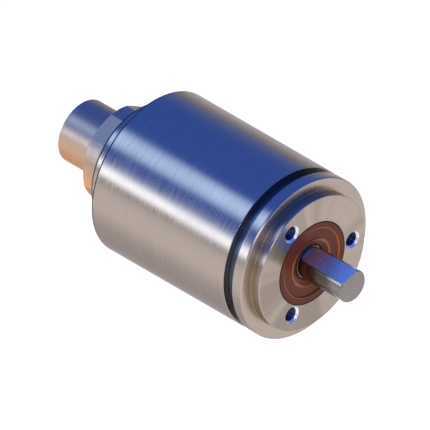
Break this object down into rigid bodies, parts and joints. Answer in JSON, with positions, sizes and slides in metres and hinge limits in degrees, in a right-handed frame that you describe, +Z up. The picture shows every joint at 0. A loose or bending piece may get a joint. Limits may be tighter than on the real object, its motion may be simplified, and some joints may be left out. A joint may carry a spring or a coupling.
{
  "type": "rotary encoder",
  "caption": "Round brushed-metal shaft encoder: synchro flange with centring spigot and tapped face holes, sealed D-shaft, code disc and counting gears inside, axial connector at the rear.",
  "frame": {"origin": "centre of the mounting shoulder, where the centring spigot meets the flange rim, on the shaft's axis", "axes": "+X along the shaft's axis and out of its free end, +Z up, one face hole on +Y"},
  "size_m": [0.1076, 0.05, 0.05],
  "materials": {
    "anodised_aluminium": "fine circumferential brushing, satin",
    "ground_stainless": "ground and polished stainless steel",
    "brown_fluoroelastomer": "brown fluoroelastomer, satin moulded",
    "black_nitrile": "matt black nitrile",
    "sheet_steel": "pressed sheet steel",
    "spring_steel": "tempered spring steel",
    "bearing_steel": "ground bearing steel",
    "turned_aluminium": "turned, uncoated",
    "turned_brass": "turned brass",
    "plated_screws": "zinc plated",
    "black_screws": "black oxide",
    "coded_glass": "polished glass with chromium tracks",
    "clear_lens": "clear moulded optics",
    "green_board": "solder-masked glass epoxy",
    "amber_film": "polyimide film",
    "black_plastic": "moulded black, fine grain",
    "white_plastic": "moulded off-white",
    "white_acetal": "moulded acetal",
    "magnet": "nickel plated",
    "connector_metal": "turned and satin nickel plated",
    "gold_contacts": "gold plated",
    "lead_insulation": "soft insulation"
  },
  "bodies": {
    "housing": {"front_flange": "anodised_aluminium", "housing_tube": "anodised_aluminium", "rear_cover": "anodised_aluminium", "flange_o_ring": "black_nitrile", "cover_o_ring": "black_nitrile", "connector_o_ring": "black_nitrile", "seal_rubber": "brown_fluoroelastomer", "seal_case": "sheet_steel", "seal_garter_spring": "spring_steel", "front_bearing_outer_ring": "bearing_steel", "rear_bearing_outer_ring": "bearing_steel", "bearing_spacer": "turned_aluminium", "preload_washer": "spring_steel", "hub_circlip": "spring_steel", "lamp_holder": "black_plastic", "led_emitter": "clear_lens", "collimator_lens": "clear_lens", "lamp_screws": "plated_screws", "sensor_board": "green_board", "gear_plate": "turned_aluminium", "interface_board": "green_board", "board_standoffs": "turned_brass", "gear_spacers": "turned_brass", "rear_spacers": "turned_brass", "stack_screws": "plated_screws", "gear_axle_pins": "bearing_steel", "photo_sensor": "black_plastic", "scanning_mask": "coded_glass", "hall_sensors": "black_plastic", "controller_chip": "black_plastic", "power_components": "black_plastic", "board_ribbon": "amber_film", "connector_shell": "connector_metal", "connector_insert": "black_plastic", "connector_contacts": "gold_contacts", "connector_leads": "lead_insulation", "board_header": "white_plastic"},
    "rotor": {"shaft": "ground_stainless", "front_bearing_inner_ring": "bearing_steel", "rear_bearing_inner_ring": "bearing_steel", "shaft_circlip": "spring_steel", "disc_hub": "turned_aluminium", "disc_hub_set_screws": "black_screws", "code_disc": "coded_glass", "disc_clamp_ring": "turned_brass", "shaft_pinion": "turned_brass"},
    "front_ball_set": {"front_bearing_balls": "bearing_steel", "front_bearing_cage": "sheet_steel"},
    "rear_ball_set": {"rear_bearing_balls": "bearing_steel", "rear_bearing_cage": "sheet_steel"},
    "first_wheel": {"first_counter_wheel": "white_acetal", "first_wheel_magnet": "magnet"},
    "second_wheel": {"second_counter_wheel": "white_acetal", "second_wheel_magnet": "magnet"}
  },
  "joints": [
    {"name": "shaft_spin", "type": "hinge", "parent": "housing", "child": "rotor", "pos_m": [0, 0, 0], "axis": [1, 0, 0], "continuous": true},
    {"name": "front_ball_spin", "type": "hinge", "parent": "housing", "child": "front_ball_set", "pos_m": [-0.0092, 0, 0], "axis": [1, 0, 0], "continuous": true},
    {"name": "rear_ball_spin", "type": "hinge", "parent": "housing", "child": "rear_ball_set", "pos_m": [-0.0252, 0, 0], "axis": [1, 0, 0], "continuous": true},
    {"name": "first_wheel_spin", "type": "hinge", "parent": "housing", "child": "first_wheel", "pos_m": [-0.0446, 0.012, 0], "axis": [1, 0, 0], "continuous": true},
    {"name": "second_wheel_spin", "type": "hinge", "parent": "housing", "child": "second_wheel", "pos_m": [-0.0462, 0.006, 0.01039], "axis": [1, 0, 0], "continuous": true}
  ],
  "couplings": [
    {"joint": "front_ball_spin", "follows": "shaft_spin", "ratio": 0.36772},
    {"joint": "rear_ball_spin", "follows": "shaft_spin", "ratio": 0.36772},
    {"joint": "first_wheel_spin", "follows": "shaft_spin", "ratio": -0.33333},
    {"joint": "second_wheel_spin", "follows": "shaft_spin", "ratio": 0.11111}
  ]
}
